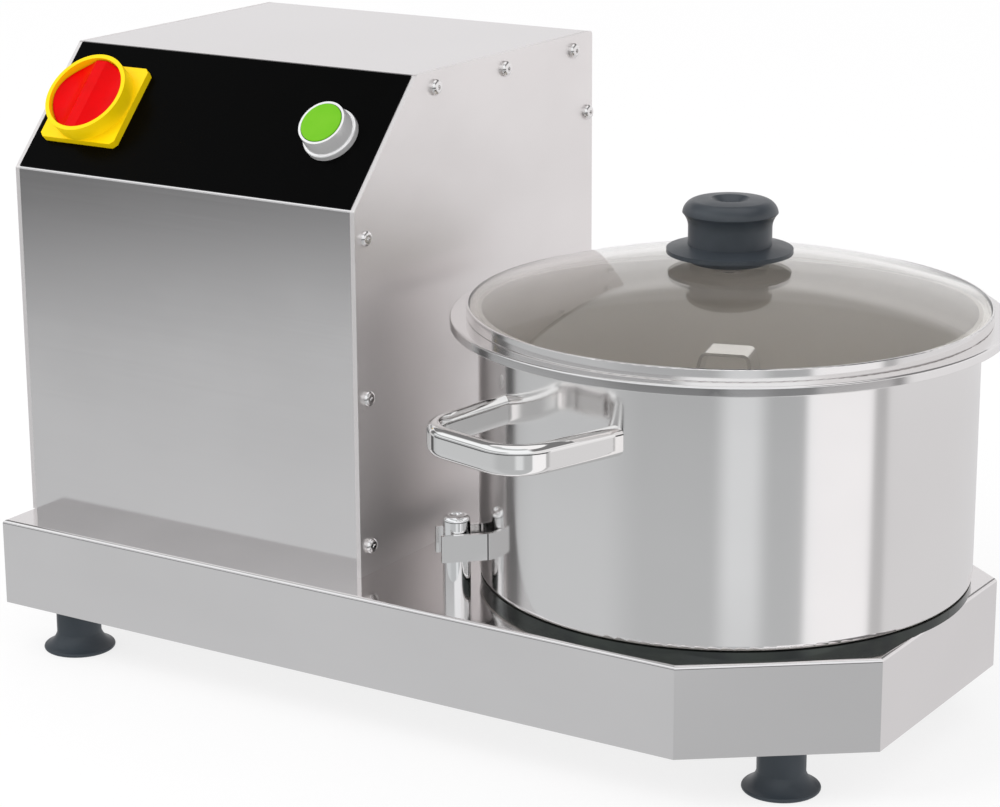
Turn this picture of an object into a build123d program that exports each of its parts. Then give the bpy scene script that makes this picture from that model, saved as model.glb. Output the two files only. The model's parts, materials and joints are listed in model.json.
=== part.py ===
from build123d import *
from math import cos, hypot, radians, sin, sqrt, tan
import os

# A tabletop bowl cutter: a motor housing and a lidded bowl side by side on one base pan.
# Millimetres, +Z up, +X to the right, the front faces -Y.
# The origin is on the floor, at the middle of the machine's length and width.

# ---------------------------------------------------------------- driving dimensions

# Base pan: a folded tray, upside down, with its two right-hand corners cut off.
base_length = 475.5
base_depth = 245.0
corner_cut_x = 75.5
corner_cut_y = 58.0
skirt_height = 45.2
base_sheet = 2.0
base_bend = 1.8
ledge_width = 14.0
cover_sheet = 1.5
cover_gap = 0.5

# Feet: flared rubber buffers under the bottom cover.
foot_height = 26.0
foot_flange_radius = 18.6
foot_rim_height = 2.2
foot_cone_top = 9.0
foot_neck_radius = 11.6
foot_rim_round = 1.0
foot_cone_bow = 1.0
left_foot_from_left = 29.3
left_foot_from_front = 22.5
right_foot_from_left = 428.9
right_foot_from_front = 51.4
foot_bolt_radius = 3.0
foot_bolt_head_radius = 5.4
foot_bolt_recess = 7.0
foot_recess_gap = 0.6

# Motor housing: one wrapped sheet between two side panels.
housing_width = 211.3
housing_depth = 219.0
housing_from_front = 24.0
housing_height = 240.1
front_height = 182.8
slope_depth = 53.9
fold_radius = 2.0
wrap_sheet = 1.5
wrap_flange = 14.0
side_sheet = 2.5
vent_length = 44.0
vent_height = 4.0
vent_pitch = 9.0
vent_rows = 7
vent_columns = 2
vent_column_pitch = 60.0
vent_centre_height = 70.0

# Pan head screws of the housing and the bottom cover.
pan_shank_radius = 2.0
pan_head_radius = 4.0
pan_head_height = 2.6
pan_dome_share = 0.75
pan_socket_radius = 1.3
pan_socket_depth = 1.3
screw_end = 2.0
panel_screw_inset = 8.0
rear_screw_inset = 5.5
top_screw_places = (69.6, 133.1, 199.3)
front_screw_heights = (14.5, 89.4, 168.6)
rear_screw_heights = (14.5, 106.0, 197.5)

# Control panel on the slope; places are from its lower left corner, along the slope.
overlay_sheet = 0.6
overlay_margin = 0.8
overlay_side_gap = 0.2
switch_x = 33.4
switch_s = 40.2
switch_plate_width = 48.0
switch_plate_length = 46.0
switch_plate_height = 4.0
switch_plate_corner = 2.2
switch_collar_radius = 23.0
switch_collar_height = 13.4
switch_collar_wall = 2.2
knob_gap = 0.4
knob_rim_drop = 1.0
knob_edge = 0.8
knob_scoop_radius = 16.0
knob_scoop_depth = 3.2
knob_scoop_from_middle = 12.8
knob_shaft_radius = 3.0
knob_shaft_reach = 22.0
switch_body_size = 42.0
switch_body_depth = 46.0
start_from_right = 31.3
start_s = 39.3
bezel_radius = 14.3
bezel_base_height = 3.4
bezel_barrel_radius = 13.2
bezel_barrel_taper = 6.5
bezel_height = 11.6
bezel_edge = 0.8
bezel_thread_radius = 11.0
bezel_thread_reach = 14.0
button_radius = 10.8
button_gap = 0.3
button_proud = 0.6
button_edge = 0.5
button_travel = 3.0
button_cap_height = 5.0
button_stem_radius = 4.0
contact_block_size = 29.0
contact_block_depth = 42.0

# Bowl with its rim, handles and fork.
bowl_from_left = 359.5
bowl_radius = 120.0
bowl_sheet = 1.2
bowl_lift = 4.6
bowl_height = 127.8
bowl_corner = 1.6
bowl_rim_radius = 133.5
rim_lip_height = 4.6
rim_lip_flare = 0.12
rim_lip_edge = 0.4
rim_bend = 1.0
chimney_radius = 20.0
chimney_height = 72.7
chimney_corner = 5.0
seat_gap = 0.3
seat_outer_radius = 119.5
seat_width = 17.0
handle_angle = 256.2
handle_front_width = 68.2
handle_splay = 5.2
handle_reach = 175.7
handle_corner = 23.0
handle_top = 107.2
handle_section_height = 14.5
handle_section_width = 8.2
handle_edge = 4.0
fork_angle = 223.7
fork_sheet = 2.0
fork_reach = 141.0
fork_height = 13.3
fork_base = 18.8
fork_gap = 0.5

# Locating pillar on the deck, inside the fork.
pillar_radius = 6.6
pillar_height = 39.8
pillar_from_bowl = 133.1
pillar_edge = 2.6
pillar_dimple_radius = 3.4
pillar_dimple_depth = 1.4
pillar_dimple_mid_share = 0.6
pillar_dimple_bow_share = 0.75
pillar_stud_radius = 4.0

# Lid.
lid_ring_radius = 125.5
lid_ring_height = 5.7
lid_ring_sheet = 0.8
lid_seat_width = 2.6
lid_ring_edge = 0.4
lid_ring_foot_edge = 0.5
lid_spigot_depth = 5.5
lid_spigot_gap = 0.6
glass_thickness = 4.0
glass_radius = 124.6
glass_rise = 20.0
glass_lip = 0.1
glass_edge_gap = 0.05
guard_radius = 30.2
guard_rim = 2.1
guard_seat_radius = 19.0
guard_height = 7.8
guard_sag = 1.8
lid_knob_neck_radius = 20.0
lid_knob_neck_height = 8.3
lid_knob_flare_height = 7.2
lid_knob_radius = 22.8
lid_knob_crown_height = 6.1
lid_knob_crown_radius = 16.5
lid_knob_height = 22.2
lid_knob_dimple_radius = 9.2
lid_knob_dimple_depth = 2.5
lid_knob_dimple_floor = 5.4
lid_knob_flare_bow = 0.8
lid_knob_shoulder_bow = 1.25
lid_knob_shoulder_lift = 1.05
lid_knob_crown_bow = 0.1
lid_screw_radius = 3.0
lid_screw_head_radius = 9.0
lid_screw_head_height = 3.0
lid_screw_reach = 16.0

# Knife drive: column, bearings, shaft.
column_radius = 17.0
column_bore = 12.0
column_flange_radius = 38.0
column_flange_height = 6.0
column_foot = 2.2
column_deck_gap = 0.2
column_height = 76.8
column_bolt_circle = 28.0
column_bolt_count = 4
column_bolt_angle = 45.0
column_bolt_radius = 2.5
column_bolt_head_radius = 4.6
bearing_radius = 14.0
bearing_width = 8.0
bearing_ball_count = 8
bearing_race = 2.6
ball_groove = 0.6
bearing_fit = 0.02
shaft_radius = 6.0
shaft_fit = 0.03
seal_gap = 0.3
shaft_flat = 4.6
shaft_flat_length = 12.0
seal_height = 5.0

# Knife set.
hub_running_gap = 0.5
hub_wall = 4.5
hub_floor_gap = 1.7
hub_mouth = 3.2
hub_edge = 1.5
hub_top_gap = 2.0
hub_top_sheet = 8.0
hub_socket_roof = 2.0
hub_foot_radius = 29.0
hub_foot_height = 3.0
hub_socket_gap = 0.1
blade_fit = 0.05
blade_ring_radius = 34.0
blade_thickness = 2.5
blade_tip_radius = 112.0
blade_tip_sweep = 34.0
blade_tip_width = 7.0
blade_root_width = 34.0
blade_belly = 15.0
blade_edge_mid_share = 0.72
blade_edge_bow_share = 0.4
blade_back_mid_share = 0.56
blade_back_bow_share = 1.2
spacer_height = 20.0
hub_nut_radius = 33.0
hub_nut_height = 8.0
upper_blade_turn = 90.0
strap_turn = 17.0
strap_top_length = 22.0
strap_foot_span = 33.0
strap_width = 18.5
strap_height = 24.6
strap_sheet = 1.6
strap_foot = 5.0
strap_bend = 3.0

# Motor, standing on the deck inside the housing.
motor_from_left = 105.0
motor_plate_x = 140.0
motor_plate_y = 122.0
motor_plate_sheet = 4.0
motor_radius = 55.0
motor_fin_radius = 60.0
motor_fin_thickness = 2.0
motor_fin_count = 28
motor_wall = 5.0
motor_bell_height = 14.0
motor_length = 110.0
stator_inner = 32.0
stator_inset = 12.0
rotor_gap = 0.5
motor_shaft_radius = 7.0
motor_shaft_top = 24.0
motor_bolt_radius = 3.0
motor_bolt_head_radius = 5.2
motor_bolt_circle = 54.0
motor_foot_ratio = 1.3
motor_boss_ratio = 2.2
motor_shaft_below_pulley = 3.5
fan_radius = 46.0
fan_disc = 3.0
fan_height = 16.0
fan_hub_radius = 13.0
fan_blade_count = 9
fan_blade_thickness = 2.5
fan_blade_inset = 2.0
fan_gap = 3.0
deck_window_radius = 21.0

# Belt drive under the deck.
pulley_width = 14.0
pulley_cheek = 1.5
pulley_middle_below_deck = 21.2
motor_pulley_radius = 30.0
driven_pulley_radius = 20.0
pulley_cheek_height = 4.5
belt_width = 10.0
belt_thickness = 3.0
belt_gap = 0.3
shaft_below_pulley = 7.0
pulley_nut_radius = 11.0
pulley_nut_height = 5.0

# Electrical parts inside the housing.
capacitor_radius = 18.0
capacitor_height = 76.0
capacitor_from_right = 39.3
capacitor_from_back = 36.5
capacitor_edge = 2.25
capacitor_stud_radius = 4.0
contactor_width = 45.0
contactor_depth = 48.0
contactor_height = 74.0
contactor_step_height = 14.8
contactor_step_depth = 16.0
contactor_from_left = 62.0
contactor_bottom = 84.0
terminal_width = 58.0
terminal_depth = 20.0
terminal_height = 16.0
terminal_from_left = 62.0
terminal_bottom = 52.0
terminal_pitch = 11.0
terminal_hole_radius = 2.75
terminal_hole_depth = 10.0
terminal_count = 5
gland_from_right = 39.3
gland_above_deck = 30.0
gland_hex_radius = 11.0
gland_hex_length = 6.0
gland_cap_radius = 9.6
gland_cap_length = 9.0
gland_cap_edge = 2.4
gland_thread_radius = 8.0
gland_bore_radius = 4.5
gland_nut_length = 4.0

# Shared clearances and fasteners.
thread_gap = 0.05
hole_gap = 0.25
nut_radius_ratio = 1.9
nut_height_ratio = 1.6
bolt_end = 1.5
bolt_head_edge = 0.5
housing_screw_inset = 22.0
cover_screw_places = (62.0, 200.0, 338.0)

# ---------------------------------------------------------------- derived frame

overall_length = pan_head_height + bowl_from_left + bowl_rim_radius
left_face = pan_head_height - overall_length / 2
front_edge = -base_depth / 2
bowl_x = left_face + bowl_from_left
bowl_y = 0.0
motor_x = left_face + motor_from_left

skirt_bottom = foot_height
deck_top = skirt_bottom + skirt_height
deck_bottom = deck_top - base_sheet
cover_top = skirt_bottom + cover_sheet
ledge_top = cover_top + base_sheet

housing_front = front_edge + housing_from_front
housing_back = housing_front + housing_depth
housing_right = left_face + housing_width
fold_z = deck_top + front_height
housing_top = deck_top + housing_height
wrap_left = left_face + side_sheet
wrap_width = housing_width - 2 * side_sheet

bowl_bottom = deck_top + bowl_lift
bowl_floor = bowl_bottom + bowl_sheet
bowl_top = bowl_bottom + bowl_height
bowl_inner = bowl_radius - bowl_sheet
chimney_top = bowl_floor + chimney_height

slope_rise = housing_height - front_height
slope_length = hypot(slope_depth, slope_rise)
start_x = housing_width - start_from_right
panel = Plane(
    origin=(left_face, housing_front, fold_z), x_dir=(1, 0, 0), z_dir=(0, -slope_rise, slope_depth)
)

bowl_section = Plane(origin=(bowl_x, bowl_y, 0), x_dir=(1, 0, 0), z_dir=(0, -1, 0))
bowl_axis = Axis((bowl_x, bowl_y, 0), (0, 0, 1))
motor_section = Plane(origin=(motor_x, bowl_y, 0), x_dir=(1, 0, 0), z_dir=(0, -1, 0))
motor_axis = Axis((motor_x, bowl_y, 0), (0, 0, 1))


def bowl_plane(height, turn=0.0):
    """A level plane on the bowl's axis, turned so that its x points at the given angle."""
    toward = (cos(radians(turn)), sin(radians(turn)), 0)
    return Plane(origin=(bowl_x, bowl_y, height), x_dir=toward, z_dir=(0, 0, 1))


def motor_plane(height):
    return Plane(origin=(motor_x, bowl_y, height), x_dir=(1, 0, 0), z_dir=(0, 0, 1))


def save(piece, name):
    """Label a finished piece and write it as a node of its own."""
    piece.part.label = name
    export_step(piece.part, "parts/" + name + ".step")


os.makedirs("parts", exist_ok=True)


# ---------------------------------------------------------------- fasteners

def pan_screw(grip):
    """A pan head screw standing head up on z = 0, with its shank below."""
    with BuildPart(mode=Mode.PRIVATE) as screw:
        with BuildSketch(Plane.XY):
            Circle(pan_head_radius)
        extrude(amount=pan_head_height)
        fillet(screw.edges().sort_by(Axis.Z)[-1], pan_head_height * pan_dome_share)
        with BuildSketch(Plane.XY):
            Circle(pan_shank_radius)
        extrude(amount=-grip - screw_end)
        with BuildSketch(Plane.XY.offset(pan_head_height)):
            RegularPolygon(radius=pan_socket_radius, side_count=6)
        extrude(amount=-pan_socket_depth, mode=Mode.SUBTRACT)
    return screw.part


def bolt(shank_radius, head_radius, head_height, length):
    """A cylinder head bolt standing head up on z = 0."""
    with BuildPart(mode=Mode.PRIVATE) as made:
        with BuildSketch(Plane.XY):
            Circle(head_radius)
        extrude(amount=head_height)
        chamfer(made.edges().sort_by(Axis.Z)[-1], bolt_head_edge)
        with BuildSketch(Plane.XY):
            Circle(shank_radius)
        extrude(amount=-length)
    return made.part


def nut(thread_radius):
    """A hexagon nut hanging below z = 0."""
    with BuildPart(mode=Mode.PRIVATE) as made:
        with BuildSketch(Plane.XY):
            RegularPolygon(radius=thread_radius * nut_radius_ratio, side_count=6)
            Circle(thread_radius + thread_gap, mode=Mode.SUBTRACT)
        extrude(amount=-thread_radius * nut_height_ratio)
    return made.part


# ---------------------------------------------------------------- base pan

base_right = left_face + base_length
cut_start = base_right - corner_cut_x
base_corners = (
    (left_face, front_edge),
    (cut_start, front_edge),
    (base_right, front_edge + corner_cut_y),
    (base_right, -front_edge - corner_cut_y),
    (cut_start, -front_edge),
    (left_face, -front_edge),
)


def base_outline(inset):
    with BuildSketch(mode=Mode.PRIVATE) as outline:
        Polygon(*base_corners, align=None)
        if inset:
            offset(amount=-inset, kind=Kind.INTERSECTION)
    return outline.sketch


foot_places = {
    "foot_front_left": (left_face + left_foot_from_left, front_edge + left_foot_from_front),
    "foot_front_right": (left_face + right_foot_from_left, front_edge + right_foot_from_front),
    "foot_rear_left": (left_face + left_foot_from_left, -front_edge - left_foot_from_front),
    "foot_rear_right": (left_face + right_foot_from_left, -front_edge - right_foot_from_front),
}
ledge_middle = base_sheet + ledge_width / 2
cover_screw_points = [
    (left_face + place, side * (front_edge + ledge_middle))
    for place in cover_screw_places
    for side in (1, -1)
] + [(left_face + ledge_middle, 0), (base_right - ledge_middle, 0)]
housing_screw_points = [
    (place, depth)
    for place in (
        left_face + housing_screw_inset,
        left_face + housing_width / 2,
        housing_right - housing_screw_inset,
    )
    for depth in (
        housing_front + wrap_sheet + wrap_flange / 2,
        housing_back - wrap_sheet - wrap_flange / 2,
    )
]
motor_bolt_points = [
    (motor_x + side * motor_bolt_circle, bowl_y + end * motor_bolt_circle)
    for side in (1, -1)
    for end in (1, -1)
]
capacitor_point = (housing_right - capacitor_from_right, housing_back - capacitor_from_back)
pillar_point = (
    bowl_x + pillar_from_bowl * cos(radians(fork_angle)),
    bowl_y + pillar_from_bowl * sin(radians(fork_angle)),
)

with BuildPart() as base_deck:
    with BuildSketch(Plane.XY.offset(skirt_bottom)):
        add(base_outline(0))
    extrude(amount=skirt_height)
    fillet(base_deck.faces().sort_by(Axis.Z)[-1].edges(), base_bend)
    with BuildSketch(Plane.XY.offset(skirt_bottom)):
        add(base_outline(base_sheet))
    extrude(amount=cover_sheet, mode=Mode.SUBTRACT)
    with BuildSketch(Plane.XY.offset(cover_top)):
        add(base_outline(base_sheet + ledge_width))
    extrude(amount=base_sheet, mode=Mode.SUBTRACT)
    with BuildSketch(Plane.XY.offset(ledge_top)):
        add(base_outline(base_sheet))
    extrude(amount=deck_bottom - ledge_top, mode=Mode.SUBTRACT)
    with BuildSketch(Plane.XY.offset(deck_top)):
        with Locations((bowl_x, bowl_y)):
            Circle(column_radius + column_deck_gap)
            with PolarLocations(column_bolt_circle, column_bolt_count, column_bolt_angle):
                Circle(column_bolt_radius + hole_gap)
        with Locations((motor_x, bowl_y)):
            Circle(deck_window_radius)
        with Locations(pillar_point):
            Circle(pillar_stud_radius + thread_gap)
        with Locations(capacitor_point):
            Circle(capacitor_stud_radius + hole_gap)
        with Locations(*motor_bolt_points):
            Circle(motor_bolt_radius + hole_gap)
        with Locations(*housing_screw_points):
            Circle(pan_shank_radius + hole_gap)
    extrude(amount=-base_sheet, mode=Mode.SUBTRACT)
    with BuildSketch(Plane.XY.offset(cover_top)):
        with Locations(*cover_screw_points):
            Circle(pan_shank_radius + thread_gap)
    extrude(amount=base_sheet, mode=Mode.SUBTRACT)
    with Locations(bowl_plane(deck_top)):
        with PolarLocations(column_bolt_circle, column_bolt_count, column_bolt_angle):
            CounterSinkHole(
                radius=column_bolt_radius + hole_gap,
                counter_sink_radius=column_bolt_head_radius + hole_gap,
                depth=base_sheet,
            )
save(base_deck, "base_deck")

with BuildPart() as bottom_cover:
    with BuildSketch(Plane.XY.offset(skirt_bottom)):
        add(base_outline(base_sheet + cover_gap))
        with Locations(*cover_screw_points):
            Circle(pan_shank_radius + hole_gap, mode=Mode.SUBTRACT)
        with Locations(*foot_places.values()):
            Circle(foot_bolt_radius + hole_gap, mode=Mode.SUBTRACT)
    extrude(amount=cover_sheet)
save(bottom_cover, "bottom_cover")

cover_screw = pan_screw(cover_sheet + base_sheet)
with BuildPart() as bottom_cover_screws:
    for x, y in cover_screw_points:
        with Locations(Plane(origin=(x, y, skirt_bottom), x_dir=(1, 0, 0), z_dir=(0, 0, -1))):
            add(cover_screw)
save(bottom_cover_screws, "bottom_cover_screws")

for foot_name, foot_place in foot_places.items():
    with BuildPart() as foot:
        with BuildSketch(Plane(origin=(*foot_place, 0), x_dir=(1, 0, 0), z_dir=(0, -1, 0))):
            with BuildLine():
                Line((0, 0), (foot_flange_radius - foot_rim_round, 0))
                ThreePointArc(
                    (foot_flange_radius - foot_rim_round, 0),
                    (foot_flange_radius, foot_rim_height / 2),
                    (foot_flange_radius - foot_rim_round, foot_rim_height),
                )
                ThreePointArc(
                    (foot_flange_radius - foot_rim_round, foot_rim_height),
                    (
                        (foot_flange_radius + foot_neck_radius) / 2 - foot_cone_bow,
                        (foot_rim_height + foot_cone_top) / 2 - foot_cone_bow,
                    ),
                    (foot_neck_radius, foot_cone_top),
                )
                Polyline(
                    (foot_neck_radius, foot_cone_top),
                    (foot_neck_radius, foot_height),
                    (0, foot_height),
                    (0, 0),
                )
            make_face()
        revolve(axis=Axis((*foot_place, 0), (0, 0, 1)))
        with Locations(Plane(origin=(*foot_place, 0), x_dir=(1, 0, 0), z_dir=(0, 0, -1))):
            CounterBoreHole(
                radius=foot_bolt_radius + hole_gap,
                counter_bore_radius=foot_bolt_head_radius + foot_recess_gap,
                counter_bore_depth=foot_bolt_recess,
            )
    save(foot, foot_name)

foot_nut = nut(foot_bolt_radius)
foot_nut_height = foot_bolt_radius * nut_height_ratio
foot_bolt_length = cover_top + foot_nut_height + bolt_end - foot_bolt_recess
foot_bolt = bolt(foot_bolt_radius, foot_bolt_head_radius, foot_bolt_radius, foot_bolt_length)
with BuildPart() as foot_bolts:
    for x, y in foot_places.values():
        with Locations(Plane(origin=(x, y, foot_bolt_recess), x_dir=(1, 0, 0), z_dir=(0, 0, -1))):
            add(foot_bolt)
        with Locations((x, y, cover_top + foot_nut_height)):
            add(foot_nut)
save(foot_bolts, "foot_bolts")

# ---------------------------------------------------------------- motor housing

housing_corners = (
    (housing_front, deck_top),
    (housing_front, fold_z),
    (housing_front + slope_depth, housing_top),
    (housing_back, housing_top),
    (housing_back, deck_top),
)


def housing_outline(inset):
    """The housing's side view, in (y, z); the outer one has its folds rounded."""
    with BuildSketch(mode=Mode.PRIVATE) as outline:
        Polygon(*housing_corners, align=None)
        if inset:
            offset(amount=-inset, kind=Kind.INTERSECTION)
        else:
            fillet(outline.vertices().sort_by(Axis.Y)[2:], fold_radius)
    return outline.sketch


panel_screw_points = (
    [(housing_front + place, housing_top - panel_screw_inset) for place in top_screw_places]
    + [(housing_front + panel_screw_inset, deck_top + height) for height in front_screw_heights]
    + [(housing_back - rear_screw_inset, deck_top + height) for height in rear_screw_heights]
)
back_wall = Plane(origin=(left_face, housing_back, deck_top), x_dir=(-1, 0, 0), z_dir=(0, 1, 0))
gland_place = (gland_from_right - housing_width, gland_above_deck)

with BuildPart() as housing_wrap:
    with BuildSketch(Plane.YZ.offset(wrap_left)):
        add(housing_outline(0))
    extrude(amount=wrap_width)
    with BuildSketch(Plane.YZ.offset(wrap_left + wrap_sheet)):
        add(housing_outline(wrap_sheet))
    extrude(amount=wrap_width - 2 * wrap_sheet, mode=Mode.SUBTRACT)
    with BuildSketch(Plane.YZ.offset(wrap_left)):
        add(housing_outline(wrap_sheet + wrap_flange))
    extrude(amount=wrap_width, mode=Mode.SUBTRACT)
    with BuildSketch(Plane.XY.offset(deck_top)):
        with Locations(((wrap_left + housing_right - side_sheet) / 2, (housing_front + housing_back) / 2)):
            Rectangle(
                wrap_width - 2 * (wrap_sheet + wrap_flange), housing_depth - 2 * (wrap_sheet + wrap_flange)
            )
        with Locations(*housing_screw_points):
            Circle(pan_shank_radius + thread_gap)
    extrude(amount=wrap_sheet, mode=Mode.SUBTRACT)
    with BuildSketch(Plane.YZ.offset(wrap_left)):
        with Locations(*panel_screw_points):
            Circle(pan_shank_radius + thread_gap)
    extrude(amount=wrap_width, mode=Mode.SUBTRACT)
    with BuildSketch(back_wall):
        with Locations((-housing_width / 2, housing_height - vent_centre_height)):
            with GridLocations(vent_column_pitch, vent_pitch, vent_columns, vent_rows):
                SlotOverall(vent_length, vent_height)
        with Locations(gland_place):
            Circle(gland_thread_radius + thread_gap)
    extrude(amount=-wrap_sheet, mode=Mode.SUBTRACT)
    with BuildSketch(panel):
        with Locations((switch_x, switch_s)):
            Circle(knob_shaft_radius + hole_gap)
        with Locations((start_x, start_s)):
            Circle(bezel_thread_radius + hole_gap)
    extrude(amount=-wrap_sheet, mode=Mode.SUBTRACT)
save(housing_wrap, "housing_wrap")

for side_name, side_x in (("side_panel_left", left_face), ("side_panel_right", housing_right - side_sheet)):
    with BuildPart() as side_panel:
        with BuildSketch(Plane.YZ.offset(side_x)):
            add(housing_outline(0))
            with Locations(*panel_screw_points):
                Circle(pan_shank_radius + hole_gap, mode=Mode.SUBTRACT)
        extrude(amount=side_sheet)
    save(side_panel, side_name)

panel_screw = pan_screw(side_sheet + wrap_sheet)
with BuildPart() as side_panel_screws:
    for side_x, outward in ((left_face, -1), (housing_right, 1)):
        for y, z in panel_screw_points:
            with Locations(Plane(origin=(side_x, y, z), x_dir=(0, 1, 0), z_dir=(outward, 0, 0))):
                add(panel_screw)
save(side_panel_screws, "side_panel_screws")

housing_screw = pan_screw(base_sheet + wrap_sheet)
with BuildPart() as housing_screws:
    for x, y in housing_screw_points:
        with Locations(Plane(origin=(x, y, deck_bottom), x_dir=(1, 0, 0), z_dir=(0, 0, -1))):
            add(housing_screw)
save(housing_screws, "housing_screws")

# ---------------------------------------------------------------- control panel

overlay_width = wrap_width - 2 * overlay_side_gap
with BuildPart() as control_overlay:
    with BuildSketch(panel):
        with Locations((housing_width / 2, slope_length / 2)):
            Rectangle(overlay_width, slope_length - 2 * overlay_margin)
        with Locations((switch_x, switch_s)):
            Circle(knob_shaft_radius + hole_gap, mode=Mode.SUBTRACT)
        with Locations((start_x, start_s)):
            Circle(bezel_thread_radius + hole_gap, mode=Mode.SUBTRACT)
    extrude(amount=overlay_sheet)
save(control_overlay, "control_overlay")

plate_top = overlay_sheet + switch_plate_height
collar_top = overlay_sheet + switch_collar_height
collar_bore = switch_collar_radius - switch_collar_wall
with BuildPart() as switch_plate:
    with BuildSketch(panel.offset(overlay_sheet)) as plate_outline:
        with Locations((switch_x, switch_s)):
            Rectangle(switch_plate_width, switch_plate_length)
        chamfer(plate_outline.vertices(), switch_plate_corner)
    extrude(amount=switch_plate_height)
    with BuildSketch(panel.offset(plate_top)):
        with Locations((switch_x, switch_s)):
            Circle(switch_collar_radius)
    extrude(amount=collar_top - plate_top)
    with BuildSketch(panel.offset(plate_top)):
        with Locations((switch_x, switch_s)):
            Circle(collar_bore)
    extrude(amount=collar_top - plate_top, mode=Mode.SUBTRACT)
    with BuildSketch(panel.offset(overlay_sheet)):
        with Locations((switch_x, switch_s)):
            Circle(knob_shaft_radius + hole_gap)
    extrude(amount=switch_plate_height, mode=Mode.SUBTRACT)
save(switch_plate, "switch_plate")

knob_bottom = plate_top + knob_gap
knob_radius = collar_bore - knob_gap
knob_face = collar_top - knob_rim_drop
knob_middle = panel.from_local_coords((switch_x, switch_s, knob_face))
with BuildPart() as switch_knob:
    with BuildSketch(panel.offset(knob_bottom)):
        with Locations((switch_x, switch_s)):
            Circle(knob_radius)
    extrude(amount=knob_face - knob_bottom)
    fillet(switch_knob.edges().group_by(Axis(panel.origin, panel.z_dir))[-1], knob_edge)
    with BuildSketch(Plane(origin=knob_middle, x_dir=panel.x_dir, z_dir=panel.y_dir)):
        for side in (1, -1):
            with Locations((side * knob_scoop_from_middle, knob_scoop_depth - knob_scoop_radius)):
                Circle(knob_scoop_radius)
    extrude(amount=knob_radius, both=True, mode=Mode.SUBTRACT)
    with BuildSketch(panel.offset(knob_bottom)):
        with Locations((switch_x, switch_s)):
            Circle(knob_shaft_radius)
    extrude(amount=-knob_shaft_reach)
save(switch_knob, "switch_knob")

with BuildPart() as switch_body:
    with BuildSketch(panel.offset(-wrap_sheet)):
        with Locations((switch_x, switch_s)):
            Rectangle(switch_body_size, switch_body_size)
            Circle(knob_shaft_radius + shaft_fit, mode=Mode.SUBTRACT)
    extrude(amount=-knob_shaft_reach)
    with BuildSketch(panel.offset(-wrap_sheet - knob_shaft_reach)):
        with Locations((switch_x, switch_s)):
            Rectangle(switch_body_size, switch_body_size)
    extrude(amount=knob_shaft_reach - switch_body_depth)
save(switch_body, "switch_body")

bezel_top = overlay_sheet + bezel_height
button_top = bezel_top + button_proud
with BuildPart() as start_button_bezel:
    with BuildSketch(panel.offset(overlay_sheet)):
        with Locations((start_x, start_s)):
            Circle(bezel_radius)
    extrude(amount=bezel_base_height)
    fillet(start_button_bezel.edges().group_by(Axis(panel.origin, panel.z_dir))[-1], bezel_edge)
    with BuildSketch(panel.offset(overlay_sheet + bezel_base_height)):
        with Locations((start_x, start_s)):
            Circle(bezel_barrel_radius)
    extrude(amount=bezel_height - bezel_base_height, taper=bezel_barrel_taper)
    with BuildSketch(panel.offset(overlay_sheet)):
        with Locations((start_x, start_s)):
            Circle(bezel_thread_radius)
    extrude(amount=-bezel_thread_reach)
    with BuildSketch(panel.offset(bezel_top)):
        with Locations((start_x, start_s)):
            Circle(button_radius + button_gap)
    extrude(amount=-button_cap_height - button_travel - button_proud, mode=Mode.SUBTRACT)
    with BuildSketch(panel.offset(bezel_top)):
        with Locations((start_x, start_s)):
            Circle(button_stem_radius + button_gap)
    extrude(amount=-bezel_height - bezel_thread_reach, mode=Mode.SUBTRACT)
save(start_button_bezel, "start_button_bezel")

stem_length = bezel_height + bezel_thread_reach
with BuildPart() as start_button:
    with BuildSketch(panel.offset(button_top)):
        with Locations((start_x, start_s)):
            Circle(button_radius)
    extrude(amount=-button_cap_height)
    fillet(start_button.edges().group_by(Axis(panel.origin, panel.z_dir))[-1], button_edge)
    with BuildSketch(panel.offset(button_top - button_cap_height)):
        with Locations((start_x, start_s)):
            Circle(button_stem_radius)
    extrude(amount=button_cap_height - stem_length)
save(start_button, "start_button")

stem_room = 2 * button_travel
with BuildPart() as start_contact_block:
    with BuildSketch(panel.offset(-wrap_sheet)):
        with Locations((start_x, start_s)):
            Rectangle(contact_block_size, contact_block_size)
            Circle(bezel_thread_radius + thread_gap, mode=Mode.SUBTRACT)
    extrude(amount=wrap_sheet - bezel_thread_reach)
    with BuildSketch(panel.offset(-bezel_thread_reach)):
        with Locations((start_x, start_s)):
            Rectangle(contact_block_size, contact_block_size)
            Circle(button_stem_radius + button_gap, mode=Mode.SUBTRACT)
    extrude(amount=-stem_room)
    with BuildSketch(panel.offset(-bezel_thread_reach - stem_room)):
        with Locations((start_x, start_s)):
            Rectangle(contact_block_size, contact_block_size)
    extrude(amount=bezel_thread_reach + stem_room - contact_block_depth)
save(start_contact_block, "start_contact_block")

# ---------------------------------------------------------------- locating pillar and bowl seat

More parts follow.
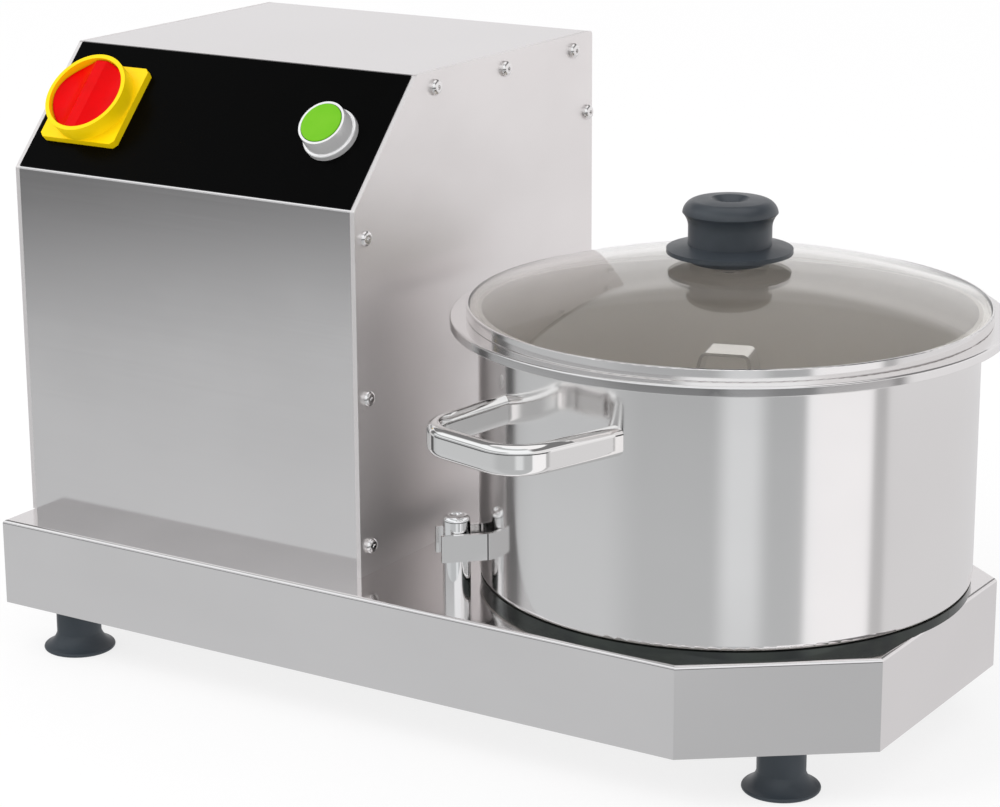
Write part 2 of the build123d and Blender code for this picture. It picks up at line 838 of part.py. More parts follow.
quarter_round = 1 - cos(radians(45))
pillar_section = Plane(origin=(*pillar_point, deck_top), x_dir=(1, 0, 0), z_dir=(0, -1, 0))
pillar_nut_height = pillar_stud_radius * nut_height_ratio
pillar_stud_length = base_sheet + pillar_nut_height + bolt_end
with BuildPart() as locating_pillar:
    with BuildSketch(pillar_section):
        with BuildLine():
            ThreePointArc(
                (0, pillar_height - pillar_dimple_depth),
                (
                    pillar_dimple_radius * pillar_dimple_mid_share,
                    pillar_height - pillar_dimple_depth * pillar_dimple_bow_share,
                ),
                (pillar_dimple_radius, pillar_height),
            )
            ThreePointArc(
                (pillar_dimple_radius, pillar_height),
                (pillar_radius - pillar_edge * quarter_round, pillar_height - pillar_edge * quarter_round),
                (pillar_radius, pillar_height - pillar_edge),
            )
            Polyline(
                (pillar_radius, pillar_height - pillar_edge),
                (pillar_radius, 0),
                (pillar_stud_radius, 0),
                (pillar_stud_radius, -pillar_stud_length),
                (0, -pillar_stud_length),
                (0, pillar_height - pillar_dimple_depth),
            )
        make_face()
    revolve(axis=Axis((*pillar_point, 0), (0, 0, 1)))
save(locating_pillar, "locating_pillar")

with BuildPart() as pillar_nut:
    with Locations((*pillar_point, deck_bottom)):
        add(nut(pillar_stud_radius))
save(pillar_nut, "pillar_nut")

with BuildPart() as bowl_seat_ring:
    with BuildSketch(bowl_plane(deck_top)):
        Circle(seat_outer_radius)
        Circle(seat_outer_radius - seat_width, mode=Mode.SUBTRACT)
    extrude(amount=bowl_lift - seat_gap)
save(bowl_seat_ring, "bowl_seat_ring")

# ---------------------------------------------------------------- bowl

with BuildPart() as bowl_shell:
    with BuildSketch(bowl_section) as shell_profile:
        with BuildLine():
            FilletPolyline(
                (chimney_radius, chimney_top),
                (chimney_radius, bowl_floor),
                (bowl_inner, bowl_floor),
                (bowl_inner, bowl_top),
                (bowl_rim_radius - rim_lip_flare, bowl_top),
                (bowl_rim_radius, bowl_top - rim_lip_height),
                radius=(chimney_corner, bowl_corner, rim_bend, rim_bend),
            )
            offset(amount=bowl_sheet, side=Side.RIGHT)
        make_face()
    revolve(axis=bowl_axis)
    fillet(bowl_shell.edges().filter_by(GeomType.CIRCLE).sort_by(SortBy.RADIUS)[-1], rim_lip_edge)
save(bowl_shell, "bowl_shell")

handle_bottom = deck_top + handle_top - handle_section_height
handle_front = handle_front_width / 2
handle_root = handle_front + handle_reach * tan(radians(handle_splay))
for handle_name, handle_turn in (
    ("bowl_handle_front", handle_angle),
    ("bowl_handle_rear", handle_angle - 180),
):
    with BuildPart() as bowl_handle:
        with BuildSketch(bowl_plane(handle_bottom, handle_turn)) as handle_outline:
            Polygon(
                (0, -handle_root),
                (handle_reach, -handle_front),
                (handle_reach, handle_front),
                (0, handle_root),
                align=None,
            )
            fillet(handle_outline.vertices().group_by(Axis.X)[-1], handle_corner)
            offset(amount=-handle_section_width, mode=Mode.SUBTRACT)
        extrude(amount=handle_section_height)
        level_edges = bowl_handle.edges().group_by(Axis.Z)
        fillet(level_edges[0] + level_edges[-1], handle_edge)
        with BuildSketch(bowl_plane(handle_bottom)):
            Circle(bowl_radius)
        extrude(amount=handle_section_height, mode=Mode.SUBTRACT)
    save(bowl_handle, handle_name)

fork_inner = pillar_radius + fork_gap
with BuildPart() as bowl_fork:
    with BuildSketch(bowl_plane(deck_top + fork_base, fork_angle)):
        for side in (1, -1):
            with Locations(((bowl_radius + fork_reach) / 2, side * (fork_inner + fork_sheet / 2))):
                Rectangle(fork_reach - bowl_radius + fork_sheet, fork_sheet)
        Circle(bowl_radius, mode=Mode.SUBTRACT)
    extrude(amount=fork_height)
save(bowl_fork, "bowl_fork")

# ---------------------------------------------------------------- lid

ring_top = bowl_top + lid_ring_height
glass_edge_z = ring_top - glass_lip
glass_sphere = (glass_radius**2 + glass_rise**2) / (2 * glass_rise)
glass_centre_z = glass_edge_z + glass_rise - glass_sphere
apex_z = glass_centre_z + glass_sphere


def glass_profile(grow):
    """Half of the dome's section, in (radius, z), grown on every side."""
    outer = glass_sphere + grow
    inner = glass_sphere - glass_thickness - grow
    edge = glass_radius + grow
    with BuildSketch(mode=Mode.PRIVATE) as dome:
        with Locations((0, glass_centre_z)):
            Circle(outer)
            Circle(inner, mode=Mode.SUBTRACT)
        with Locations((edge / 2, apex_z)):
            Rectangle(edge, glass_sphere, mode=Mode.INTERSECT)
    return dome.sketch


spigot_radius = bowl_inner - lid_spigot_gap
spigot_inner = spigot_radius - lid_ring_sheet
lid_seat_inner = glass_radius - lid_seat_width
with BuildPart() as lid_ring:
    with BuildSketch(bowl_section):
        Polygon(
            (spigot_inner, bowl_top - lid_spigot_depth),
            (spigot_radius, bowl_top - lid_spigot_depth),
            (spigot_radius, bowl_top),
            (lid_ring_radius, bowl_top),
            (lid_ring_radius, ring_top),
            (lid_seat_inner, ring_top),
            (lid_seat_inner, bowl_top + lid_ring_sheet),
            (spigot_inner, bowl_top + lid_ring_sheet),
            align=None,
        )
    revolve(axis=bowl_axis)
    fillet(lid_ring.edges().group_by(Axis.Z)[-1].sort_by(SortBy.RADIUS)[-1], lid_ring_edge)
    foot_edges = lid_ring.edges().filter_by_position(Axis.Z, bowl_top, bowl_top)
    fillet(foot_edges.sort_by(SortBy.RADIUS)[-1], lid_ring_foot_edge)
    with BuildSketch(bowl_section):
        add(glass_profile(glass_edge_gap))
    revolve(axis=bowl_axis, mode=Mode.SUBTRACT)
save(lid_ring, "lid_ring")

with BuildPart() as lid_glass:
    with BuildSketch(bowl_section):
        add(glass_profile(0))
    revolve(axis=bowl_axis)
    with BuildSketch(bowl_plane(apex_z)):
        Circle(lid_screw_radius + hole_gap)
    extrude(amount=-glass_rise, mode=Mode.SUBTRACT)
save(lid_glass, "lid_glass")

guard_top = apex_z + guard_height
guard_seat_drop = glass_sphere - sqrt(glass_sphere**2 - guard_seat_radius**2)
with BuildPart() as lid_knob_guard:
    with BuildSketch(bowl_section):
        Polygon(
            (lid_screw_radius + hole_gap, apex_z - guard_seat_drop),
            (guard_seat_radius, apex_z - guard_seat_drop),
            (guard_seat_radius, guard_top - guard_sag - guard_rim),
            (guard_radius, guard_top - guard_sag - guard_rim),
            (guard_radius, guard_top - guard_sag),
            (lid_knob_neck_radius, guard_top),
            (lid_screw_radius + hole_gap, guard_top),
            align=None,
        )
        add(glass_profile(0), mode=Mode.SUBTRACT)
    revolve(axis=bowl_axis)
save(lid_knob_guard, "lid_knob_guard")

knob_waist_top = guard_top + lid_knob_neck_height
knob_widest = knob_waist_top + lid_knob_flare_height
knob_crown = knob_widest + lid_knob_crown_height
knob_top = guard_top + lid_knob_height
with BuildPart() as lid_knob:
    with BuildSketch(bowl_section):
        with BuildLine():
            Polyline(
                (0, knob_top - lid_knob_dimple_depth),
                (0, guard_top),
                (lid_knob_neck_radius, guard_top),
                (lid_knob_neck_radius, knob_waist_top),
            )
            ThreePointArc(
                (lid_knob_neck_radius, knob_waist_top),
                (
                    (lid_knob_neck_radius + lid_knob_radius) / 2 - lid_knob_flare_bow,
                    (knob_waist_top + knob_widest) / 2,
                ),
                (lid_knob_radius, knob_widest),
            )
            ThreePointArc(
                (lid_knob_radius, knob_widest),
                (
                    (lid_knob_radius + lid_knob_crown_radius) / 2 + lid_knob_shoulder_bow,
                    (knob_widest + knob_crown) / 2 + lid_knob_shoulder_lift,
                ),
                (lid_knob_crown_radius, knob_crown),
            )
            ThreePointArc(
                (lid_knob_crown_radius, knob_crown),
                (
                    (lid_knob_crown_radius + lid_knob_dimple_radius) / 2,
                    (knob_crown + knob_top) / 2 + lid_knob_crown_bow,
                ),
                (lid_knob_dimple_radius, knob_top),
            )
            Polyline(
                (lid_knob_dimple_radius, knob_top),
                (lid_knob_dimple_floor, knob_top - lid_knob_dimple_depth),
                (0, knob_top - lid_knob_dimple_depth),
            )
        make_face()
    revolve(axis=bowl_axis)
    with BuildSketch(bowl_plane(guard_top)):
        Circle(lid_screw_radius + thread_gap)
    extrude(amount=lid_screw_reach, mode=Mode.SUBTRACT)
save(lid_knob, "lid_knob")

glass_inner_sphere = glass_sphere - glass_thickness
screw_seat_z = glass_centre_z + sqrt(glass_inner_sphere**2 - lid_screw_head_radius**2)
lid_screw_length = guard_top - screw_seat_z + lid_screw_reach - bolt_end
with BuildPart() as lid_knob_screw:
    with Locations(Plane(origin=(bowl_x, bowl_y, screw_seat_z), x_dir=(1, 0, 0), z_dir=(0, 0, -1))):
        add(bolt(lid_screw_radius, lid_screw_head_radius, lid_screw_head_height, lid_screw_length))
save(lid_knob_screw, "lid_knob_screw")

# ---------------------------------------------------------------- knife drive

column_bottom = deck_bottom - column_flange_height - column_foot
column_top = deck_top + column_height
seal_bottom = column_top - seal_height
upper_bearing_z = seal_bottom - bearing_width
hub_inner_top = chimney_top + hub_top_gap
hub_top = hub_inner_top + hub_top_sheet
shaft_top = hub_top - hub_socket_roof - hub_socket_gap
pulley_middle = deck_bottom - pulley_middle_below_deck
pulley_bottom = pulley_middle - pulley_width / 2
shaft_bottom = pulley_bottom - shaft_below_pulley

with BuildPart() as bearing_column:
    with BuildSketch(bowl_section):
        Polygon(
            (bearing_radius + bearing_fit, column_bottom),
            (column_radius, column_bottom),
            (column_radius, deck_bottom - column_flange_height),
            (column_flange_radius, deck_bottom - column_flange_height),
            (column_flange_radius, deck_bottom),
            (column_radius, deck_bottom),
            (column_radius, column_top),
            (bearing_radius + bearing_fit, column_top),
            (bearing_radius + bearing_fit, upper_bearing_z),
            (column_bore, upper_bearing_z),
            (column_bore, column_bottom + bearing_width),
            (bearing_radius + bearing_fit, column_bottom + bearing_width),
            align=None,
        )
    revolve(axis=bowl_axis)
    with BuildSketch(bowl_plane(deck_bottom)):
        with PolarLocations(column_bolt_circle, column_bolt_count, column_bolt_angle):
            Circle(column_bolt_radius + hole_gap)
    extrude(amount=-column_flange_height, mode=Mode.SUBTRACT)
save(bearing_column, "bearing_column")

column_nut = nut(column_bolt_radius)
column_bolt_length = base_sheet + column_flange_height + column_bolt_radius * nut_height_ratio + bolt_end
with BuildPart() as column_bolt:
    with BuildSketch(Plane.XZ):
        Polygon(
            (0, 0),
            (column_bolt_head_radius, 0),
            (column_bolt_radius, column_bolt_radius - column_bolt_head_radius),
            (column_bolt_radius, -column_bolt_length),
            (0, -column_bolt_length),
            align=None,
        )
    revolve(axis=Axis.Z)
with BuildPart() as column_bolts:
    with Locations(bowl_plane(deck_top)):
        with PolarLocations(column_bolt_circle, column_bolt_count, column_bolt_angle):
            add(column_bolt.part)
    with Locations(bowl_plane(deck_bottom - column_flange_height)):
        with PolarLocations(column_bolt_circle, column_bolt_count, column_bolt_angle):
            add(column_nut)
save(column_bolts, "column_bolts")

ball_circle = (bearing_radius + shaft_radius) / 2
ball_radius = (bearing_radius - shaft_radius) / 2 - bearing_race + ball_groove
for bearing_name, bearing_z in (("lower_bearing", column_bottom), ("upper_bearing", upper_bearing_z)):
    with BuildPart() as bearing:
        with BuildSketch(bowl_plane(bearing_z)):
            Circle(bearing_radius)
            Circle(bearing_radius - bearing_race, mode=Mode.SUBTRACT)
            Circle(shaft_radius + bearing_race)
            Circle(shaft_radius + shaft_fit, mode=Mode.SUBTRACT)
        extrude(amount=bearing_width)
        with BuildSketch(bowl_section):
            with Locations((ball_circle, bearing_z + bearing_width / 2)):
                Circle(ball_radius + thread_gap)
        revolve(axis=bowl_axis, mode=Mode.SUBTRACT)
        with Locations(bowl_plane(bearing_z + bearing_width / 2)):
            with PolarLocations(ball_circle, bearing_ball_count):
                Sphere(ball_radius)
    save(bearing, bearing_name)

with BuildPart() as shaft_seal:
    with BuildSketch(bowl_plane(seal_bottom)):
        Circle(bearing_radius)
        Circle(shaft_radius + seal_gap, mode=Mode.SUBTRACT)
    extrude(amount=seal_height)
save(shaft_seal, "shaft_seal")

with BuildPart() as blade_shaft:
    with BuildSketch(bowl_plane(shaft_bottom)):
        Circle(shaft_radius)
    extrude(amount=shaft_top - shaft_flat_length - shaft_bottom)
    with BuildSketch(bowl_plane(shaft_top - shaft_flat_length)):
        Circle(shaft_radius)
        Rectangle(2 * shaft_radius, 2 * shaft_flat, mode=Mode.INTERSECT)
    extrude(amount=shaft_flat_length)
save(blade_shaft, "blade_shaft")


def pulley(turning_radius, bore, section, axis):
    """A flat belt pulley with two cheeks."""
    cheek_radius = turning_radius + pulley_cheek_height
    with BuildPart(mode=Mode.PRIVATE) as made:
        with BuildSketch(section):
            with Locations((cheek_radius / 2, pulley_middle)):
                Rectangle(cheek_radius, pulley_width)
            with Locations((cheek_radius, pulley_middle)):
                Rectangle(
                    2 * pulley_cheek_height, pulley_width - 2 * pulley_cheek, mode=Mode.SUBTRACT
                )
            with Locations((0, pulley_middle)):
                Rectangle(2 * bore, pulley_width, mode=Mode.SUBTRACT)
        revolve(axis=axis)
    return made.part


with BuildPart() as driven_pulley:
    add(pulley(driven_pulley_radius, shaft_radius + shaft_fit, bowl_section, bowl_axis))
save(driven_pulley, "driven_pulley")

with BuildPart() as driven_pulley_nut:
    with BuildSketch(bowl_plane(pulley_bottom)):
        RegularPolygon(radius=pulley_nut_radius, side_count=6)
        Circle(shaft_radius + thread_gap, mode=Mode.SUBTRACT)
    extrude(amount=-pulley_nut_height)
save(driven_pulley_nut, "driven_pulley_nut")

with BuildPart() as motor_pulley:
    add(pulley(motor_pulley_radius, motor_shaft_radius + shaft_fit, motor_section, motor_axis))
save(motor_pulley, "motor_pulley")


def belt_loop(grow):
    """The area inside a loop round both pulleys, the given distance off them."""
    with BuildSketch(mode=Mode.PRIVATE) as loop:
        with Locations((bowl_x, bowl_y)):
            Circle(driven_pulley_radius + grow)
        with Locations((motor_x, bowl_y)):
            Circle(motor_pulley_radius + grow)
        make_hull()
    return loop.sketch


with BuildPart() as drive_belt:
    with BuildSketch(Plane.XY.offset(pulley_middle - belt_width / 2)):
        add(belt_loop(belt_gap + belt_thickness))
        add(belt_loop(belt_gap), mode=Mode.SUBTRACT)
    extrude(amount=belt_width)
save(drive_belt, "drive_belt")

# ---------------------------------------------------------------- knife set

hub_inner = chimney_radius + hub_running_gap
hub_outer = hub_inner + hub_wall
hub_bottom = bowl_floor + hub_floor_gap
lower_blade_z = hub_bottom + hub_foot_height
spacer_z = lower_blade_z + blade_thickness
upper_blade_z = spacer_z + spacer_height
hub_nut_z = upper_blade_z + blade_thickness

with BuildPart() as blade_hub:
    with BuildSketch(bowl_section):
        Polygon(
            (hub_inner + hub_mouth, hub_bottom),
            (hub_foot_radius, hub_bottom),
            (hub_foot_radius, lower_blade_z),
            (hub_outer, lower_blade_z),
            (hub_outer, hub_top),
            (0, hub_top),
            (0, hub_inner_top),
            (hub_inner, hub_inner_top),
            (hub_inner, hub_bottom + hub_mouth),
            align=None,
        )
    revolve(axis=bowl_axis)
    with BuildSketch(bowl_plane(hub_inner_top)):
        Circle(shaft_radius + hub_socket_gap)
        Rectangle(
            2 * (shaft_radius + hub_socket_gap), 2 * (shaft_flat + hub_socket_gap), mode=Mode.INTERSECT
        )
    extrude(amount=hub_top_sheet - hub_socket_roof, mode=Mode.SUBTRACT)
    fillet(blade_hub.edges().group_by(Axis.Z)[-1], hub_edge)
save(blade_hub, "blade_hub")

tip_angle = radians(blade_tip_sweep)
tip_point = (blade_tip_radius * cos(tip_angle), blade_tip_radius * sin(tip_angle))
tip_inner = (
    (blade_tip_radius - blade_tip_width) * cos(tip_angle),
    (blade_tip_radius - blade_tip_width) * sin(tip_angle),
)
root_back = sqrt(blade_ring_radius**2 - (blade_root_width / 2) ** 2)
for blade_name, blade_z, blade_turn in (
    ("lower_blade", lower_blade_z, 0.0),
    ("upper_blade", upper_blade_z, upper_blade_turn),
):
    with BuildPart() as blade:
        for half_turn in (0, 180):
            with BuildSketch(bowl_plane(blade_z, blade_turn + half_turn)):
                with BuildLine():
                    ThreePointArc(
                        (0, -blade_ring_radius),
                        (blade_tip_radius * blade_edge_mid_share, -blade_belly * blade_edge_bow_share),
                        tip_point,
                    )
                    Line(tip_point, tip_inner)
                    ThreePointArc(
                        tip_inner,
                        (blade_tip_radius * blade_back_mid_share, blade_belly * blade_back_bow_share),
                        (root_back, blade_root_width / 2),
                    )
                    Line((root_back, blade_root_width / 2), (0, 0))
                    Line((0, 0), (0, -blade_ring_radius))
                make_face()
            extrude(amount=blade_thickness)
        with BuildSketch(bowl_plane(blade_z)):
            Circle(blade_ring_radius)
        extrude(amount=blade_thickness)
        with BuildSketch(bowl_plane(blade_z)):
            Circle(hub_outer + blade_fit)
        extrude(amount=blade_thickness, mode=Mode.SUBTRACT)
    save(blade, blade_name)

with BuildPart() as blade_spacer:
    with BuildSketch(bowl_plane(spacer_z)):
        Circle(hub_nut_radius)
        Circle(hub_outer + blade_fit, mode=Mode.SUBTRACT)
    extrude(amount=spacer_height)
save(blade_spacer, "blade_spacer")

with BuildPart() as hub_nut:
    with BuildSketch(bowl_plane(hub_nut_z)):
        RegularPolygon(radius=hub_nut_radius, side_count=6)
        Circle(hub_outer + thread_gap, mode=Mode.SUBTRACT)
    extrude(amount=hub_nut_height)
save(hub_nut, "hub_nut")

strap_section = Plane(
    origin=(bowl_x, bowl_y, hub_top),
    x_dir=(cos(radians(strap_turn)), sin(radians(strap_turn)), 0),
    z_dir=(sin(radians(strap_turn)), -cos(radians(strap_turn)), 0),
)
with BuildPart() as hub_strap:
    with BuildLine(strap_section) as strap_path:
        FilletPolyline(
            (-strap_foot_span / 2 - strap_foot, strap_sheet / 2),
            (-strap_foot_span / 2, strap_sheet / 2),
            (-strap_top_length / 2, strap_height - strap_sheet / 2),
            (strap_top_length / 2, strap_height - strap_sheet / 2),
            (strap_foot_span / 2, strap_sheet / 2),
            (strap_foot_span / 2 + strap_foot, strap_sheet / 2),
            radius=strap_bend,
        )
    strap_start = strap_path.wires()[0]
    with BuildSketch(Plane(origin=strap_start @ 0, x_dir=(0, 0, 1), z_dir=strap_start % 0)):
        Rectangle(strap_sheet, strap_width)
    sweep()
save(hub_strap, "hub_strap")

# ---------------------------------------------------------------- motor

plate_z = deck_top + motor_plate_sheet
lower_bell_top = plate_z + motor_bell_height
motor_top = lower_bell_top + motor_length
upper_bell_top = motor_top + motor_bell_height
motor_shaft_end = upper_bell_top + motor_shaft_top

with BuildPart() as motor_mount_plate:
    with BuildSketch(motor_plane(deck_top)):
        Rectangle(motor_plate_x, motor_plate_y)
        Circle(deck_window_radius, mode=Mode.SUBTRACT)
    extrude(amount=motor_plate_sheet)
    with BuildSketch(Plane.XY.offset(deck_top)):
        with Locations(*motor_bolt_points):
            Circle(motor_bolt_radius + hole_gap)
    extrude(amount=motor_plate_sheet, mode=Mode.SUBTRACT)
save(motor_mount_plate, "motor_mount_plate")

bell_rim = motor_radius - motor_wall
with BuildPart() as motor_lower_bell:
    with BuildSketch(motor_plane(plate_z)):
        Rectangle(motor_plate_y, motor_plate_y)
        Circle(motor_bolt_circle * motor_foot_ratio, mode=Mode.INTERSECT)
    extrude(amount=motor_plate_sheet)
    with BuildSketch(motor_plane(plate_z)):
        Circle(motor_radius)
    extrude(amount=motor_bell_height)
    with BuildSketch(motor_plane(plate_z + motor_plate_sheet)):
        Circle(bell_rim)
        Circle(motor_shaft_radius * motor_boss_ratio, mode=Mode.SUBTRACT)
    extrude(amount=motor_bell_height - motor_plate_sheet, mode=Mode.SUBTRACT)
    with BuildSketch(motor_plane(plate_z)):
        Circle(motor_shaft_radius + shaft_fit)
    extrude(amount=motor_bell_height, mode=Mode.SUBTRACT)
    with BuildSketch(Plane.XY.offset(plate_z)):
        with Locations(*motor_bolt_points):
            Circle(motor_bolt_head_radius + hole_gap)
    extrude(amount=motor_bell_height, mode=Mode.SUBTRACT)
save(motor_lower_bell, "motor_lower_bell")

with BuildPart() as motor_body:
    with BuildSketch(motor_plane(lower_bell_top)):
        Circle(motor_radius)
        with PolarLocations(motor_radius, motor_fin_count):
            Rectangle(2 * (motor_fin_radius - motor_radius), motor_fin_thickness)
        Circle(bell_rim, mode=Mode.SUBTRACT)
    extrude(amount=motor_length)
save(motor_body, "motor_body")

with BuildPart() as motor_stator:
    with BuildSketch(motor_plane(lower_bell_top + stator_inset)):
        Circle(bell_rim)
        Circle(stator_inner, mode=Mode.SUBTRACT)
    extrude(amount=motor_length - 2 * stator_inset)
save(motor_stator, "motor_stator")

with BuildPart() as motor_upper_bell:
    with BuildSketch(motor_plane(motor_top)):
        Circle(motor_radius)
    extrude(amount=motor_bell_height)
    fillet(motor_upper_bell.edges().group_by(Axis.Z)[-1], motor_wall)
    with BuildSketch(motor_plane(motor_top)):
        Circle(bell_rim)
        Circle(motor_shaft_radius * motor_boss_ratio, mode=Mode.SUBTRACT)
    extrude(amount=motor_bell_height - motor_plate_sheet, mode=Mode.SUBTRACT)
    with BuildSketch(motor_plane(motor_top)):
        Circle(motor_shaft_radius + shaft_fit)
    extrude(amount=motor_bell_height, mode=Mode.SUBTRACT)
save(motor_upper_bell, "motor_upper_bell")

with BuildPart() as motor_rotor:
    with BuildSketch(motor_plane(pulley_bottom - motor_shaft_below_pulley)):
        Circle(motor_shaft_radius)
    extrude(amount=motor_shaft_end - pulley_bottom + motor_shaft_below_pulley)
    with BuildSketch(motor_plane(lower_bell_top + stator_inset)):
        Circle(stator_inner - rotor_gap)
    extrude(amount=motor_length - 2 * stator_inset)
save(motor_rotor, "motor_rotor")

fan_z = upper_bell_top + fan_gap
fan_blade_end = fan_radius - fan_blade_inset
with BuildPart() as motor_fan:
    with BuildSketch(motor_plane(fan_z)):
        Circle(fan_radius)
    extrude(amount=fan_disc)
    with BuildSketch(motor_plane(fan_z + fan_disc)):
        Circle(fan_hub_radius)
        with PolarLocations(fan_blade_end / 2, fan_blade_count):
            Rectangle(fan_blade_end, fan_blade_thickness)
    extrude(amount=fan_height - fan_disc)
    with BuildSketch(motor_plane(fan_z)):
        Circle(motor_shaft_radius + shaft_fit)
    extrude(amount=fan_height, mode=Mode.SUBTRACT)
save(motor_fan, "motor_fan")

motor_nut = nut(motor_bolt_radius)
motor_bolt_length = motor_plate_sheet + base_sheet + motor_bolt_radius * nut_height_ratio + bolt_end
motor_bolt = bolt(motor_bolt_radius, motor_bolt_head_radius, motor_bolt_radius, motor_bolt_length)
with BuildPart() as motor_bolts:
    with Locations(*[(x, y, plate_z) for x, y in motor_bolt_points]):
        add(motor_bolt)
    with Locations(*[(x, y, deck_bottom) for x, y in motor_bolt_points]):
        add(motor_nut)
save(motor_bolts, "motor_bolts")

# ---------------------------------------------------------------- electrical parts

capacitor_stud_length = base_sheet + capacitor_stud_radius * nut_height_ratio + bolt_end
with BuildPart() as start_capacitor:
    with BuildSketch(Plane.XY.offset(deck_top)):
        with Locations(capacitor_point):
            Circle(capacitor_radius)
    extrude(amount=capacitor_height)
    fillet(start_capacitor.edges().group_by(Axis.Z)[-1], capacitor_edge)
    with BuildSketch(Plane.XY.offset(deck_top)):
        with Locations(capacitor_point):
            Circle(capacitor_stud_radius)
    extrude(amount=-capacitor_stud_length)
    with Locations((*capacitor_point, deck_bottom)):
        add(nut(capacitor_stud_radius))
save(start_capacitor, "start_capacitor")

inner_wall = Plane(
    origin=(left_face, housing_back - wrap_sheet, deck_top), x_dir=(1, 0, 0), z_dir=(0, -1, 0)
)
with BuildPart() as contactor:
    with BuildSketch(inner_wall):
        with Locations((contactor_from_left, contactor_bottom + contactor_height / 2)):
            Rectangle(contactor_width, contactor_height)
    extrude(amount=contactor_depth)
    with BuildSketch(inner_wall.offset(contactor_depth)):
        with Locations((contactor_from_left, contactor_bottom + contactor_height / 2)):
            with GridLocations(contactor_width, contactor_height - contactor_step_height, 1, 2):
                Rectangle(contactor_width, contactor_step_height)
    extrude(amount=-contactor_step_depth, mode=Mode.SUBTRACT)
save(contactor, "contactor")

with BuildPart() as terminal_block:
    with BuildSketch(inner_wall):
        with Locations((terminal_from_left, terminal_bottom + terminal_height / 2)):
            Rectangle(terminal_width, terminal_height)
    extrude(amount=terminal_depth)
    with BuildSketch(inner_wall.offset(terminal_depth)):
        with Locations((terminal_from_left, terminal_bottom + terminal_height / 2)):
            with GridLocations(terminal_pitch, 0, terminal_count, 1):
                Circle(terminal_hole_radius)
    extrude(amount=-terminal_hole_depth, mode=Mode.SUBTRACT)
save(terminal_block, "terminal_block")

with BuildPart() as cable_gland:
    with BuildSketch(back_wall):
        with Locations(gland_place):
            RegularPolygon(radius=gland_hex_radius, side_count=6)
    extrude(amount=gland_hex_length)
    with BuildSketch(back_wall.offset(gland_hex_length)):
        with Locations(gland_place):
            Circle(gland_cap_radius)
    extrude(amount=gland_cap_length)
    fillet(cable_gland.edges().group_by(Axis.Y)[-1], gland_cap_edge)
    with BuildSketch(back_wall):
        with Locations(gland_place):
            Circle(gland_thread_radius)
    extrude(amount=-wrap_sheet - gland_nut_length)
    with BuildSketch(back_wall.offset(-wrap_sheet)):
        with Locations(gland_place):
            RegularPolygon(radius=gland_hex_radius, side_count=6)
    extrude(amount=-gland_nut_length)
    with BuildSketch(back_wall.offset(gland_hex_length + gland_cap_length)):
        with Locations(gland_place):
            Circle(gland_bore_radius)
    extrude(
        amount=-gland_hex_length - gland_cap_length - wrap_sheet - gland_nut_length, mode=Mode.SUBTRACT
    )
save(cable_gland, "cable_gland")
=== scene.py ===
import json
import math
from typing import NamedTuple

import bmesh
import bpy
from mathutils import Matrix, Vector


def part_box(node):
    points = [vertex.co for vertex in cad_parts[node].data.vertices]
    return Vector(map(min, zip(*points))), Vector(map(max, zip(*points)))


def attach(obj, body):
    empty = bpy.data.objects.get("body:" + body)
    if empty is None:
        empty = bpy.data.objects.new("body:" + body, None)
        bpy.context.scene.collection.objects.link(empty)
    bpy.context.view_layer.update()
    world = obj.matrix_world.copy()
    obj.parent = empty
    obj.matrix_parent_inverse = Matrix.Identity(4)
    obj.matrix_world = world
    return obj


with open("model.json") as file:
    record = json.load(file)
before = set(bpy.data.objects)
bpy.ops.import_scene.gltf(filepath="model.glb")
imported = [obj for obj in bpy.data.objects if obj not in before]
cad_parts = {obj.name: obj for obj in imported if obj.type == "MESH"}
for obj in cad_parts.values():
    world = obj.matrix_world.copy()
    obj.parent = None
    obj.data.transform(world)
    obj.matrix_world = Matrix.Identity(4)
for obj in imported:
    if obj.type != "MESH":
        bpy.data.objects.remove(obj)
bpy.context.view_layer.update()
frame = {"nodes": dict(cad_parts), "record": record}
nodes = frame["nodes"]
bpy.context.scene.view_settings.view_transform = "Standard"

# ------------------------------------------------------------------ camera

# The camera stands in front of the machine, to its right, and looks a little down on it.
EYE = Vector((0.7490, -1.1939, 0.5448))
AZIMUTH = math.radians(32.643)
ELEVATION = math.radians(15.983)
ROLL = math.radians(-0.312)
LENS = 104.67
SENSOR = 36.0
NEAREST = 0.05
FARTHEST = 100.0


def add_camera():
    back = Vector(
        (
            math.sin(AZIMUTH) * math.cos(ELEVATION),
            -math.cos(AZIMUTH) * math.cos(ELEVATION),
            math.sin(ELEVATION),
        )
    )
    level_right = (-back).cross(Vector((0, 0, 1))).normalized()
    level_up = level_right.cross(-back)
    right = math.cos(ROLL) * level_right + math.sin(ROLL) * level_up
    up = math.cos(ROLL) * level_up - math.sin(ROLL) * level_right
    lens = bpy.data.cameras.new("studio_camera")
    lens.lens = LENS
    lens.sensor_fit = "HORIZONTAL"
    lens.sensor_width = SENSOR
    lens.clip_start = NEAREST
    lens.clip_end = FARTHEST
    camera = bpy.data.objects.new("studio_camera", lens)
    camera.matrix_world = Matrix((right, up, back)).transposed().to_4x4()
    camera.matrix_world.translation = EYE
    bpy.context.collection.objects.link(camera)
    bpy.context.scene.camera = camera


add_camera()

# ------------------------------------------------------------------ shader maths


